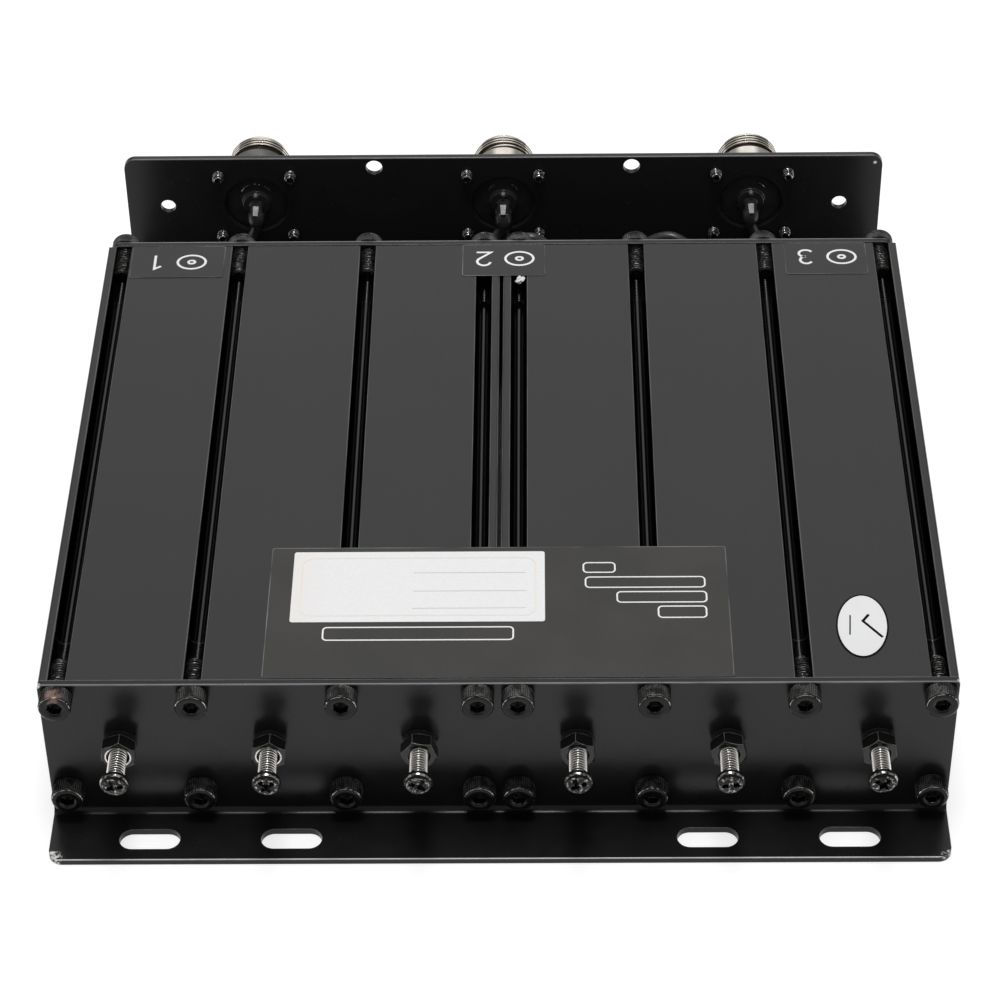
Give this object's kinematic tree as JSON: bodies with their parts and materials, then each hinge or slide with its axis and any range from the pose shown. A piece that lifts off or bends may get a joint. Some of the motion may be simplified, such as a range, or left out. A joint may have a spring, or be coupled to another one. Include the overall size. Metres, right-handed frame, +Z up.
{
  "type": "cavity duplexer",
  "caption": "Flat cavity duplexer: two extruded cavity blocks between folded black plates, screw tuners in front and threaded coaxial ports behind.",
  "frame": {"origin": "centre of the bounding box, on the surface that the object rests on", "axes": "+X to the right seen from the tuners, +Y from the tuners to the ports, +Z up"},
  "size_m": [0.192, 0.2252, 0.0394],
  "materials": {
    "block_aluminium": "satin dark grey coating",
    "black_sheet": "gloss black",
    "black_steel": "black oxide",
    "dark_steel": "black oxide, bright where worn",
    "zinc_steel": "zinc plated thread",
    "brass": "plain",
    "copper": "plain copper",
    "cable_jacket": "gloss black jacket",
    "gilt_brass": "gold plated",
    "white_ptfe": "smooth white",
    "nickel_brass": "nickel plated",
    "black_rubber": "gloss black",
    "white_paper": "semi-gloss sticker",
    "grey_plate": "satin dark grey film",
    "grey_film": "satin dark grey film"
  },
  "bodies": {
    "housing": {"cavity_block_left": "block_aluminium", "cavity_block_right": "block_aluminium", "front_plate": "black_sheet", "rear_bracket": "black_sheet", "front_cap_screws": "black_steel", "rear_cap_screws": "black_steel", "lock_nuts": "dark_steel", "tuner_washers": "dark_steel", "resonator_1": "copper", "resonator_2": "copper", "resonator_3": "copper", "resonator_4": "copper", "resonator_5": "copper", "resonator_6": "copper", "resonator_screws": "black_steel", "coupling_loop_1": "copper", "coupling_loop_2": "copper", "coupling_loop_3": "copper", "coupling_loop_4": "copper", "coupling_loop_5": "copper", "coupling_loop_6": "copper", "cable_ferrules": "brass", "cable_left_port": "cable_jacket", "cable_1_to_2": "cable_jacket", "cable_2_to_3": "cable_jacket", "cable_3_to_antenna": "cable_jacket", "cable_antenna_to_4": "cable_jacket", "cable_4_to_5": "cable_jacket", "cable_5_to_6": "cable_jacket", "cable_right_port": "cable_jacket", "connector_left": "nickel_brass", "connector_antenna": "nickel_brass", "connector_right": "nickel_brass", "connector_insulators": "white_ptfe", "contact_left": "gilt_brass", "contact_antenna": "gilt_brass", "contact_right": "gilt_brass", "connector_screws": "black_steel", "boot_left": "black_rubber", "boot_antenna": "black_rubber", "boot_right": "black_rubber", "nameplate": "grey_plate", "paper_label": "white_paper", "oval_sticker": "white_paper", "port_label_left": "grey_film", "port_label_middle": "grey_film", "port_label_right": "grey_film"},
    "plunger_1": {"tuning_plunger_1": "brass"},
    "tuner_1": {"tuning_screw_1": "zinc_steel"},
    "plunger_2": {"tuning_plunger_2": "brass"},
    "tuner_2": {"tuning_screw_2": "zinc_steel"},
    "plunger_3": {"tuning_plunger_3": "brass"},
    "tuner_3": {"tuning_screw_3": "zinc_steel"},
    "plunger_4": {"tuning_plunger_4": "brass"},
    "tuner_4": {"tuning_screw_4": "zinc_steel"},
    "plunger_5": {"tuning_plunger_5": "brass"},
    "tuner_5": {"tuning_screw_5": "zinc_steel"},
    "plunger_6": {"tuning_plunger_6": "brass"},
    "tuner_6": {"tuning_screw_6": "zinc_steel"}
  },
  "joints": [
    {"name": "tuner_1_slide", "type": "slide", "parent": "housing", "child": "plunger_1", "axis": [0, 1, 0], "range_m": [-0.0056, 0.0049]},
    {"name": "tuner_1_turn", "type": "hinge", "parent": "plunger_1", "child": "tuner_1", "pos_m": [-0.0801, -0.09825, 0.0222], "axis": [0, 1, 0], "range_deg": [-2885, 2525]},
    {"name": "tuner_2_slide", "type": "slide", "parent": "housing", "child": "plunger_2", "axis": [0, 1, 0], "range_m": [-0.0056, 0.0049]},
    {"name": "tuner_2_turn", "type": "hinge", "parent": "plunger_2", "child": "tuner_2", "pos_m": [-0.0484, -0.09825, 0.0222], "axis": [0, 1, 0], "range_deg": [-2885, 2525]},
    {"name": "tuner_3_slide", "type": "slide", "parent": "housing", "child": "plunger_3", "axis": [0, 1, 0], "range_m": [-0.0056, 0.0049]},
    {"name": "tuner_3_turn", "type": "hinge", "parent": "plunger_3", "child": "tuner_3", "pos_m": [-0.0167, -0.09825, 0.0222], "axis": [0, 1, 0], "range_deg": [-2885, 2525]},
    {"name": "tuner_4_slide", "type": "slide", "parent": "housing", "child": "plunger_4", "axis": [0, 1, 0], "range_m": [-0.0056, 0.0049]},
    {"name": "tuner_4_turn", "type": "hinge", "parent": "plunger_4", "child": "tuner_4", "pos_m": [0.0167, -0.09825, 0.0222], "axis": [0, 1, 0], "range_deg": [-2885, 2525]},
    {"name": "tuner_5_slide", "type": "slide", "parent": "housing", "child": "plunger_5", "axis": [0, 1, 0], "range_m": [-0.0056, 0.0049]},
    {"name": "tuner_5_turn", "type": "hinge", "parent": "plunger_5", "child": "tuner_5", "pos_m": [0.0484, -0.09825, 0.0222], "axis": [0, 1, 0], "range_deg": [-2885, 2525]},
    {"name": "tuner_6_slide", "type": "slide", "parent": "housing", "child": "plunger_6", "axis": [0, 1, 0], "range_m": [-0.0056, 0.0049]},
    {"name": "tuner_6_turn", "type": "hinge", "parent": "plunger_6", "child": "tuner_6", "pos_m": [0.0801, -0.09825, 0.0222], "axis": [0, 1, 0], "range_deg": [-2885, 2525]}
  ],
  "couplings": [
    {"joint": "tuner_1_turn", "follows": "tuner_1_slide", "rad_per_m": 8976},
    {"joint": "tuner_2_turn", "follows": "tuner_2_slide", "rad_per_m": 8976},
    {"joint": "tuner_3_turn", "follows": "tuner_3_slide", "rad_per_m": 8976},
    {"joint": "tuner_4_turn", "follows": "tuner_4_slide", "rad_per_m": 8976},
    {"joint": "tuner_5_turn", "follows": "tuner_5_slide", "rad_per_m": 8976},
    {"joint": "tuner_6_turn", "follows": "tuner_6_slide", "rad_per_m": 8976}
  ]
}
